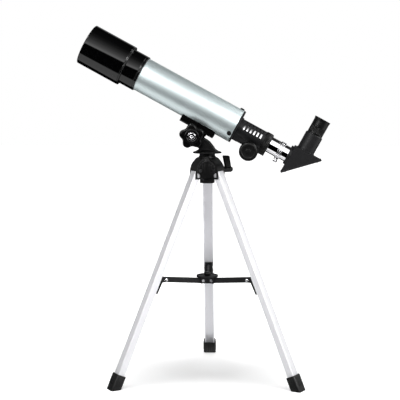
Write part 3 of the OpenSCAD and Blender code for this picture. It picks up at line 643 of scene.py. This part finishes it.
def bent_rod(bm, path, radius, sides=8):
    """A round rod along a list of points, with closed ends."""
    rings = []
    for i, point in enumerate(path):
        ahead = (path[min(i + 1, len(path) - 1)] - path[max(i - 1, 0)]).normalized()
        side = ahead.cross(Vector((1, 0, 0))).normalized()
        rise = ahead.cross(side)
        rings.append([
            bm.verts.new(point + radius * (math.cos(t) * side + math.sin(t) * rise))
            for t in (2 * math.pi * k / sides for k in range(sides))
        ])
    for low, high in zip(rings, rings[1:]):
        for k in range(sides):
            nxt = (k + 1) % sides
            bm.faces.new((low[k], low[nxt], high[nxt], high[k]))
    bm.faces.new(rings[0])
    bm.faces.new(rings[-1])


def hub_ribs(bm):
    """A raised arch on the face of a lobe of the hub, with four upright ribs under it."""
    radius, steps, bottom, half = ARCH_R - 1.1, 24, 321, 0.55
    angles = [math.pi * k / steps for k in range(steps + 1)]
    arch = [Vector((LOBE_FACE, radius * math.cos(t), ARCH_Z + radius * math.sin(t))) for t in angles]
    bent_rod(bm, arch, 0.8)
    for across in (-6.6, -3.3, 3.3, 6.6):
        top = ARCH_Z + math.sqrt((radius - 2) ** 2 - across ** 2)
        box(bm, (LOBE_FACE - 2, across - half, bottom), (LOBE_FACE + 0.15, across + half, top), 0.25)


def head_pieces():
    knob_place = placed(TILT - MM * KNOB_FACE_IN * ACROSS, (1, 0, 0), -ACROSS)
    piece("lobed_tilt_knob", tilt_knob, knob_place, "tilt_clamp", "black_satin", POLISHED,
          replaces=["tilt_knob"])
    piece("tilt_bolt_star", bolt_star, knob_place, "tilt_clamp", "chrome", CHROME)
    piece("yoke_ridges", yoke_ridges, HEAD, "yoke", "black_satin", SATIN)
    for name in LEGS:
        place = placed(FLOOR_AXIS, -leg_radial(name), UP)
        piece("hub_ribs_opposite_" + name, hub_ribs, place, "tripod_head", "black_satin", SATIN)


# ---- legs and spreader ----

LEG_W, LEG_T, LEG_WALL = 16, 11, 1.2
RIVET_R, RIVET_Z = 75.4, 163.5      # the outer rivets of the spreader, from the pan axis and the floor
FOOT_H, FOOT_W, FOOT_T, FOOT_POCKET = 24, 21, 15.6, 5.2


def leg_channel(bm):
    """A leg of bent sheet, open towards the pan axis."""
    half_w, half_t, wall, bend = LEG_W / 2, LEG_T / 2, LEG_WALL, 1.1
    outline = [
        (-half_t, -half_w), (half_t, -half_w), (half_t, half_w), (-half_t, half_w),
        (-half_t, half_w - wall), (half_t - wall, half_w - wall), (half_t - wall, wall - half_w),
        (-half_t, wall - half_w),
    ]
    extrude(bm, rounded(outline, bend), -LEG_LENGTH + 5, 4.5)


def foot_cap(lean):
    """A rubber cap with round corners and a pocket for the leg, leant over and cut off at z = 0."""
    def build(bm):
        top = -LEG_LENGTH + FOOT_H
        pocket = -LEG_LENGTH + FOOT_POCKET
        below_floor = -LEG_LENGTH - 8
        hole_t, hole_w, hole_corner = LEG_T + 0.1, LEG_W + 0.1, 1.1
        # (thickness, width, corner radius, height)
        levels = [
            (FOOT_T, FOOT_W, 3.6, below_floor), (FOOT_T, FOOT_W, 3.6, top - 1.2),
            (FOOT_T - 0.3, FOOT_W - 0.3, 3.4, top - 0.5), (FOOT_T - 1, FOOT_W - 1, 3, top),
            (hole_t, hole_w, hole_corner, top), (hole_t, hole_w, hole_corner, pocket),
        ]
        rings = []
        for thick, wide, corner, z in levels:
            x, y = thick / 2, wide / 2
            outline = rounded([(-x, -y), (x, -y), (x, y), (-x, y)], corner, steps=8)
            rings.append([bm.verts.new((a, b, z)) for a, b in outline])
        for low, high in zip(rings, rings[1:]):
            for k in range(len(low)):
                bm.faces.new((low[k - 1], low[k], high[k], high[k - 1]))
        bm.faces.new(rings[-1])
        bmesh.ops.transform(bm, matrix=lean, verts=bm.verts)
        geometry = bm.verts[:] + bm.edges[:] + bm.faces[:]
        bmesh.ops.bisect_plane(bm, geom=geometry, plane_co=(0, 0, 0), plane_no=UP, clear_inner=True)
        rim = [e for e in bm.edges if e.is_boundary]
        sole = bmesh.ops.contextual_create(bm, geom=rim)["faces"][0]
        bmesh.ops.bevel(bm, geom=list(sole.edges), offset=0.8, segments=3, profile=0.5, affect="EDGES")
    return build


def foot_ribs(bm):
    """Upright ribs on the four sides of a foot cap."""
    low, high = -LEG_LENGTH + 6, -LEG_LENGTH + FOOT_H - 3.5
    half, sunk, proud = 0.7, 0.3, 0.4
    for side in SIDES:
        near, far = sorted((side * (FOOT_T / 2 - sunk), side * (FOOT_T / 2 + proud)))
        for across in (-3.6, 0, 3.6):
            box(bm, (near, across - half, low), (far, across + half, high), 0.3)
        near, far = sorted((side * (FOOT_W / 2 - sunk), side * (FOOT_W / 2 + proud)))
        for across in (-1.8, 1.8):
            box(bm, (across - half, near, low), (across + half, far, high), 0.3)


def bracket_rivet(bm):
    """Domed rivet heads on both cheeks of a leg bracket, lying across the local y axis."""
    radius, height, reach, sunk = 2.5, 0.9, 6.7, 0.4
    profile = [(0, -sunk), (radius, -sunk)] + quarter_dome(radius, height) + [(0, height)]
    for side in SIDES:
        turned = [(r, side * (reach + along)) for r, along in profile]
        lathe(bm, turned, 32, axis="y", closed=False)


def leg_pieces():
    for name in LEGS:
        body, radial, place = "leg_" + name, leg_radial(name), leg_place(name)
        piece("channel_" + name, leg_channel, place, body, "leg_aluminium", ANODISED,
              replaces=["leg_" + name])
        floor_place = placed(foot_point(name), radial, UP)
        lean = floor_place.inverted() @ place
        lean.translation /= MM
        piece("rubber_foot_" + name, foot_cap(lean), floor_place, body, "foot_rubber", RUBBER,
              replaces=["foot_" + name])
        piece("foot_ribs_" + name, foot_ribs, place, body, "foot_rubber", RUBBER)
        bracket_place = placed(FLOOR_AXIS + MM * (RIVET_R * radial + RIVET_Z * UP), radial, UP)
        piece("bracket_rivet_" + name, bracket_rivet, bracket_place, body, "steel", CHROME)


# ---- finishes of the CAD nodes that stay ----

FINISH = {
    "black_gloss": GLOSS, "black_satin": SATIN, "tube_silver": LACQUER, "chrome": CHROME, "steel": STEEL,
    "brass": BRASS, "leg_aluminium": ANODISED, "foot_rubber": RUBBER, "lens_glass": LENS, "mirror": MIRROR,
}
SOFT_EDGES = {
    "focuser_body": 0.3, "pinion_cover": 0.4, "tube_saddle": 0.5, "diagonal_housing": 0.6,
    "diagonal_cover": 0.5, "yoke": 0.6, "hub_body": 0.5, "hub_cap": 0.4, "pan_lock_lever": 0.5,
    "spreader_plate": 0.4, "spreader_knob": 0.4, "tilt_bolt": 0.3, "tilt_nut": 0.2, "leg_pins": 0.4,
    "rear_screws": 0.2,
}
NODE_FINISH = {
    "leg_pins": BLACKENED, "diagonal_housing": MATTE, "diagonal_cover": MATTE, "tube_saddle": POLISHED,
    "focuser_body": MATTE, "pinion_cover": MATTE, "spreader_plate": MATTE,
}
for leg in LEGS:
    SOFT_EDGES["leg_bracket_" + leg] = 0.4
    SOFT_EDGES["spreader_arm_" + leg] = 0.7
    NODE_FINISH["spreader_arm_" + leg] = MATTE
    NODE_FINISH["leg_bracket_" + leg] = MATTE


def finish_cad_nodes():
    slots = {part["node"]: part["material_slot"] for part in frame["record"]["subparts"]}
    for name, obj in frame["nodes"].items():
        obj.data.materials.clear()
        obj.data.materials.append(NODE_FINISH.get(name, FINISH[slots[name]]))
    for name, width in SOFT_EDGES.items():
        soften(name, width)


# ---- studio ----

# (degrees above the horizon on the camera's side, light): a card below, a softbox above, a glow behind
WORLD_STOPS = [
    (-180, 0), (-124, 0), (-120, 0.21), (-91, 0.29), (-58, 0.36), (-53, 0), (9, 0), (12, 0.83),
    (27, 0.39), (45, 0.163), (65, 0.044), (85, 0.01), (140, 0), (158, 0.12), (172, 0.12), (180, 0),
]


def rise_of(tree, split):
    """The angle above the camera's side of the horizon, from -180 to 180 degrees, as 0 to 1."""
    forward = linked(tree, "ShaderNodeMath", operation="MULTIPLY")
    forward.inputs[1].default_value = -1
    tree.links.new(split.outputs["Y"], forward.inputs[0])
    angle = linked(tree, "ShaderNodeMath", operation="ARCTAN2")
    tree.links.new(split.outputs["Z"], angle.inputs[0])
    tree.links.new(forward.outputs[0], angle.inputs[1])
    share = linked(tree, "ShaderNodeMapRange")
    share.inputs["From Min"].default_value = -math.pi
    share.inputs["From Max"].default_value = math.pi
    tree.links.new(angle.outputs[0], share.inputs["Value"])
    return share.outputs[0]


def light_by_rise(tree, split):
    """The light of WORLD_STOPS, as a colour ramp over the rise."""
    ramp = tree.nodes.new("ShaderNodeValToRGB")
    elements = ramp.color_ramp.elements
    elements[0].position, elements[1].position = 0, 1
    for value, element in ((WORLD_STOPS[0][1], elements[0]), (WORLD_STOPS[-1][1], elements[1])):
        element.color = (value, value, value, 1)
    for degrees, value in WORLD_STOPS[1:-1]:
        element = elements.new((degrees + 180) / 360)
        element.color = (value, value, value, 1)
    tree.links.new(rise_of(tree, split), ramp.inputs["Fac"])
    return ramp.outputs["Color"]


def light_from_right(tree, split):
    """A weak light that grows towards the right-hand end of the room."""
    beside = linked(tree, "ShaderNodeMapRange", interpolation_type="SMOOTHSTEP")
    beside.inputs["From Min"].default_value = 0.55
    beside.inputs["From Max"].default_value = 0.8
    beside.inputs["To Max"].default_value = 0.14
    tree.links.new(split.outputs["X"], beside.inputs["Value"])
    return beside.outputs["Result"]


def studio_world():
    """White to the camera; to everything else, the light of WORLD_STOPS and a little from the right."""
    world = bpy.data.worlds.new("studio")
    bpy.context.scene.world = world
    world.use_nodes = True
    tree = world.node_tree
    tree.nodes.clear()
    place = tree.nodes.new("ShaderNodeTexCoord")
    split = tree.nodes.new("ShaderNodeSeparateXYZ")
    tree.links.new(place.outputs["Generated"], split.inputs["Vector"])
    both = linked(tree, "ShaderNodeMath", operation="ADD")
    tree.links.new(light_by_rise(tree, split), both.inputs[0])
    tree.links.new(light_from_right(tree, split), both.inputs[1])
    lit = linked(tree, "ShaderNodeBackground", Strength=3.2)
    tree.links.new(both.outputs[0], lit.inputs["Color"])
    plain = linked(tree, "ShaderNodeBackground", Color=(1, 1, 1, 1), Strength=1.0)
    seen = tree.nodes.new("ShaderNodeLightPath")
    mix = tree.nodes.new("ShaderNodeMixShader")
    tree.links.new(seen.outputs["Is Camera Ray"], mix.inputs["Fac"])
    tree.links.new(lit.outputs[0], mix.inputs[1])
    tree.links.new(plain.outputs[0], mix.inputs[2])
    out = tree.nodes.new("ShaderNodeOutputWorld")
    tree.links.new(mix.outputs[0], out.inputs["Surface"])


def pale_floor():
    """A matt white floor that glows of its own, with a little less glow under the object: a painted shade under
    it, added to the real shadows there.
    """
    bpy.ops.mesh.primitive_plane_add(size=12, location=(0, 0, 0))
    floor = bpy.context.object
    floor.name = "floor"
    material = bpy.data.materials.new("pale_floor")
    material.use_nodes = True
    shader = material.node_tree.nodes["Principled BSDF"]
    shader.inputs["Base Color"].default_value = (0.85, 0.85, 0.85, 1)
    shader.inputs["Roughness"].default_value = 0.9
    shader.inputs["Specular IOR Level"].default_value = 0.0
    shader.inputs["Emission Color"].default_value = (1, 1, 1, 1)
    tree = material.node_tree
    place = tree.nodes.new("ShaderNodeTexCoord")
    away = linked(tree, "ShaderNodeVectorMath", operation="LENGTH")
    # the floor's own glow is weakest under the object and full 0.4 m away, a painted shade under the object
    floor_glow_and_painted_shade = linked(tree, "ShaderNodeMapRange")
    floor_glow_and_painted_shade.inputs["From Min"].default_value = 0.05
    floor_glow_and_painted_shade.inputs["From Max"].default_value = 0.4
    floor_glow_and_painted_shade.inputs["To Min"].default_value = 0.26
    floor_glow_and_painted_shade.inputs["To Max"].default_value = 1.0
    tree.links.new(place.outputs["Object"], away.inputs[0])
    tree.links.new(away.outputs["Value"], floor_glow_and_painted_shade.inputs["Value"])
    tree.links.new(floor_glow_and_painted_shade.outputs["Result"], shader.inputs["Emission Strength"])
    floor.data.materials.append(material)
    floor.visible_glossy = False


LIT_MIDDLE = Vector((0, 0, 0.4))        # the point of the object that the lights face


def area_light(name, toward, distance, size, power, wide=(1, 0, 0)):
    """A rectangle that far from the middle of the object in a direction, its width along wide."""
    light = bpy.data.lights.new(name, "AREA")
    light.shape = "RECTANGLE"
    light.size, light.size_y = size
    light.energy = power
    obj = bpy.data.objects.new(name, light)
    bpy.context.scene.collection.objects.link(obj)
    toward = Vector(toward).normalized()
    across = Vector(wide) - Vector(wide).dot(toward) * toward
    obj.matrix_world = placed(LIT_MIDDLE + distance * toward, across, toward)
    return obj


def beside_tube(along, rise):
    """A direction by its part along the tube and by its angle above the horizon, square to the tube."""
    square = math.cos(math.radians(rise)) * -ACROSS + math.sin(math.radians(rise)) * NORMAL
    return along * ALONG + math.sqrt(1 - along ** 2) * square


def lights():
    """Two lights for the matt surfaces, and five that only the glossy ones see."""
    overhead = area_light("overhead", (0, -0.08, 1), 1.8, (1.2, 0.7), 34)
    side = area_light("side", (2.4, -1.5, 0.4), 2.8, (0.8, 0.8), 7)
    for light in (overhead, side):
        light.visible_glossy = False
    low = area_light("soft_low", beside_tube(-0.62, 40), 2.3, (0.7, 0.7), 30, ALONG)
    high = area_light("soft_high", beside_tube(0.47, 45), 2.3, (0.7, 0.7), 26, ALONG)
    panel = area_light("panel", beside_tube(0.33, 52), 2.3, (1.25, 2.2), 11, ALONG)
    strip = area_light("strip", (-0.56, -0.77, 0.31), 2, (0.2, 0.8), 7)
    crest = area_light("crest", beside_tube(0.4, 108), 2.3, (1, 1), 16, ALONG)
    for light in (low, high, panel, strip, crest):
        light.visible_diffuse = False


def camera():
    """A long lens on the pan axis, turned and pitched in degrees, its distance and height in metres."""
    lens, azimuth, pitch, shift = 101.3, 3.94, 6.18, -0.0182
    distance, height = 1.7627, 0.4746
    data = bpy.data.cameras.new("camera")
    data.lens = lens
    data.sensor_width = 36
    data.shift_x = shift
    obj = bpy.data.objects.new("camera", data)
    bpy.context.scene.collection.objects.link(obj)
    turn = math.radians(azimuth)
    obj.location = FLOOR_AXIS + Vector((distance * math.sin(turn), -distance * math.cos(turn), height))
    obj.rotation_euler = (math.radians(90 - pitch), 0, turn)
    bpy.context.scene.camera = obj


camera()
tube_pieces()
focuser_pieces()
diagonal_pieces()
head_pieces()
leg_pieces()
finish_cad_nodes()
studio_world()
pale_floor()
lights()
bpy.context.scene.view_settings.view_transform = "Standard"
